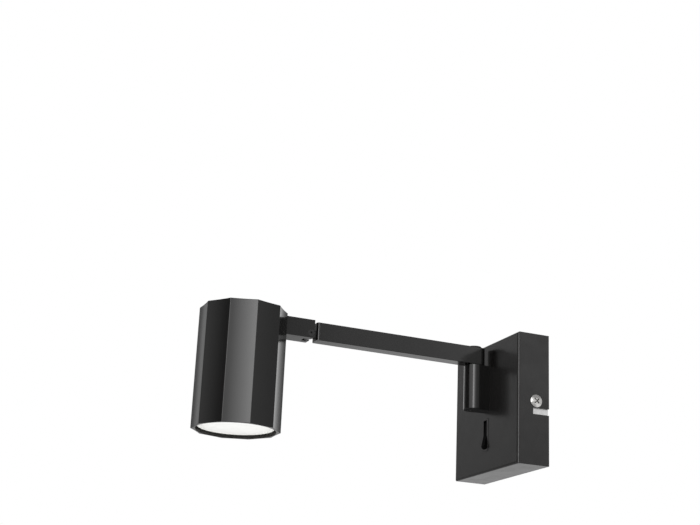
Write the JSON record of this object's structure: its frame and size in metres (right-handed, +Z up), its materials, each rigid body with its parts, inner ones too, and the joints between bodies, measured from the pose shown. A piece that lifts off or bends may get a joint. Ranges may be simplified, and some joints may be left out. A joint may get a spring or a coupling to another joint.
{
  "type": "wall reading lamp",
  "caption": "Bedside wall reading lamp: square wall box with a rocker switch, swinging arm, tilting link and a faceted spotlight head for a GU10 lamp.",
  "frame": {"origin": "centre of the box's back plane, on the wall", "axes": "-Y out from the wall, so +Y is into the wall; +X to the right as seen from the room; +Z up"},
  "size_m": [0.0926, 0.2327, 0.09],
  "materials": {
    "black_box": "semi-gloss black",
    "black_gloss": "semi-gloss black",
    "black_plastic": "gloss black",
    "black_screw": "satin black",
    "zinc": "zinc plated",
    "nickel": "nickel plated",
    "brass": "plain brass",
    "grey_plastic": "matte grey",
    "white_plastic": "matte white",
    "ceramic": "glazed ceramic",
    "lead_black": "black insulation",
    "lead_earth": "green and yellow insulation",
    "grommet": "black rubber",
    "lamp_white": "white lamp body",
    "lamp_opal": "opal lamp front"
  },
  "bodies": {
    "wall_box": {"box_cover": "black_box", "wall_bracket": "zinc", "side_screws": "nickel", "terminal_block": "white_plastic", "terminal_screws": "brass", "earth_screw": "brass", "earth_ring": "nickel", "earth_lead": "lead_earth", "switch_body": "black_plastic", "switch_tabs": "nickel", "hinge_post": "black_gloss", "post_screws": "zinc", "lead_grommet": "grommet", "pivot_tube": "zinc", "pivot_cap": "black_gloss", "post_washer": "white_plastic", "box_leads": "lead_black"},
    "switch_rocker": {"rocker": "black_plastic"},
    "arm": {"arm_tube": "black_gloss", "arm_bush": "grey_plastic", "arm_plug": "black_gloss", "arm_leads": "lead_black"},
    "link": {"link_body": "black_gloss", "tilt_screw": "black_screw", "tilt_nut": "black_screw", "tilt_washers": "brass", "swivel_nipple": "zinc", "swivel_nut": "zinc", "link_leads": "lead_black"},
    "head": {"head_shell": "black_gloss", "swivel_washer": "brass", "lamp_holder": "ceramic", "holder_bracket": "zinc", "holder_screws": "zinc", "lamp_body": "lamp_white", "lamp_lens": "lamp_opal", "lamp_pins": "nickel", "head_leads": "lead_black"}
  },
  "joints": [
    {"name": "arm_swing", "type": "hinge", "parent": "wall_box", "child": "arm", "pos_m": [0, -0.0336, 0.0291], "axis": [0, 0, 1], "range_deg": [-90, 90]},
    {"name": "head_tilt", "type": "hinge", "parent": "arm", "child": "link", "pos_m": [0, -0.1595, 0.0329], "axis": [1, 0, 0], "range_deg": [0, 90]},
    {"name": "head_swivel", "type": "hinge", "parent": "link", "child": "head", "pos_m": [0, -0.1774, 0.03535], "axis": [0, 1, 0], "range_deg": [-170, 170]},
    {"name": "rocker_switch", "type": "hinge", "parent": "wall_box", "child": "switch_rocker", "pos_m": [0, -0.023, -0.019], "axis": [1, 0, 0], "range_deg": [0, 16]}
  ]
}
